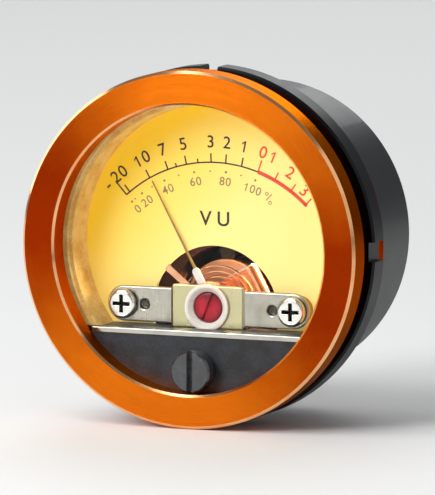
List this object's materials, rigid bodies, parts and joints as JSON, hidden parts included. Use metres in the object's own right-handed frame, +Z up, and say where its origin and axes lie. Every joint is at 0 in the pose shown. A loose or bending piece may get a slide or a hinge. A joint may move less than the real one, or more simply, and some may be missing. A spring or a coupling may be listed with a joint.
{
  "type": "panel vu meter",
  "caption": "Round panel meter with a turned bezel, a lit dial, a moving-coil pointer under a front bridge, a zero screw and a clamp nut behind the panel.",
  "frame": {"origin": "on the bezel's axis, in the plane where the back of the flange meets the panel", "axes": "+Z up as the dial is read, the dial faces -Y, +X to the right"},
  "size_m": [0.04, 0.034, 0.04],
  "materials": {
    "anodised_orange": "turned and satin anodised orange, polished bevel",
    "anodised_black": "black anodised",
    "clear_acrylic": "clear polished acrylic",
    "black_moulding": "fine grained black plastic",
    "bright_strip": "bright strip",
    "black_screw": "smooth black plastic",
    "cream_moulding": "cream plastic",
    "dial_print": "printed translucent cream dial, lit from behind",
    "milky_acrylic": "opal acrylic",
    "circuit_board": "white solder mask",
    "led_package": "warm white diode package",
    "steel_screw": "bright zinc plated",
    "nickel_bar": "brushed, bevelled",
    "brass_part": "machined brass",
    "white_nylon": "white plastic",
    "red_jewel": "red lacquered screw with a jewel",
    "bronze_strip": "phosphor bronze",
    "pointer_paint": "dark painted aluminium",
    "white_paint": "white painted aluminium",
    "copper_wire": "enamelled copper wire",
    "bare_aluminium": "thin bare aluminium",
    "soft_iron": "nickel plated soft iron",
    "magnet": "sintered magnet",
    "black_frame": "black moulded frame",
    "black_case": "black moulded can",
    "spring_steel": "spring steel"
  },
  "bodies": {
    "meter": {"bezel_ring": "anodised_orange", "window": "clear_acrylic", "skirt": "black_moulding", "skirt_trim": "bright_strip", "reflector_ring": "cream_moulding", "dial_plate": "dial_print", "diffuser": "milky_acrylic", "lamp_board": "circuit_board", "lamp_leds": "led_package", "lamp_screws": "steel_screw", "lamp_pins": "brass_part", "front_bridge": "nickel_bar", "bridge_screws": "steel_screw", "bridge_pillars": "brass_part", "jewel_collar": "white_nylon", "front_jewel_screw": "red_jewel", "rear_hairspring": "bronze_strip", "core_magnet": "magnet", "core_spacers": "black_frame", "yoke_ring": "soft_iron", "yoke_screws": "steel_screw", "movement_frame": "black_frame", "rear_bridge": "brass_part", "rear_bridge_screws": "steel_screw", "rear_jewel_screw": "brass_part", "rear_jewel_nut": "brass_part", "case_body": "black_case", "retaining_ring": "spring_steel", "terminal_studs": "brass_part", "terminal_washers": "steel_screw", "terminal_nuts": "brass_part", "solder_tags": "bright_strip"},
    "clamp_nut": {"clamp_nut": "anodised_black"},
    "zero_screw": {"zero_screw": "black_screw"},
    "zero_lever": {"zero_lever": "bronze_strip", "front_hairspring": "bronze_strip"},
    "pointer": {"pointer": "pointer_paint", "pointer_cross": "white_paint", "balance_weights": "brass_part", "pivot_pins": "steel_screw", "coil_frame": "bare_aluminium", "coil_winding": "copper_wire", "rear_collet": "brass_part"}
  },
  "joints": [
    {"name": "clamp_nut_slide", "type": "slide", "parent": "meter", "child": "clamp_nut", "axis": [0, 1, 0], "range_m": [-0.001, 0.034]},
    {"name": "zero_screw_turn", "type": "hinge", "parent": "meter", "child": "zero_screw", "pos_m": [0, 0, -0.01375], "axis": [0, 1, 0], "range_deg": [-40, 40]},
    {"name": "zero_lever_turn", "type": "hinge", "parent": "meter", "child": "zero_lever", "pos_m": [0, 0, -0.00705], "axis": [0, 1, 0], "range_deg": [-6.4, 6.4]},
    {"name": "pointer_swing", "type": "hinge", "parent": "zero_lever", "child": "pointer", "pos_m": [0, 0, -0.00705], "axis": [0, 1, 0], "range_deg": [-17.4, 75.4], "stiffness_Nm_per_rad": 0.000005, "springref_deg": -19.2, "deforming": ["front_hairspring", "rear_hairspring"]}
  ],
  "couplings": [
    {"joint": "zero_lever_turn", "follows": "zero_screw_turn", "ratio": -0.159}
  ]
}
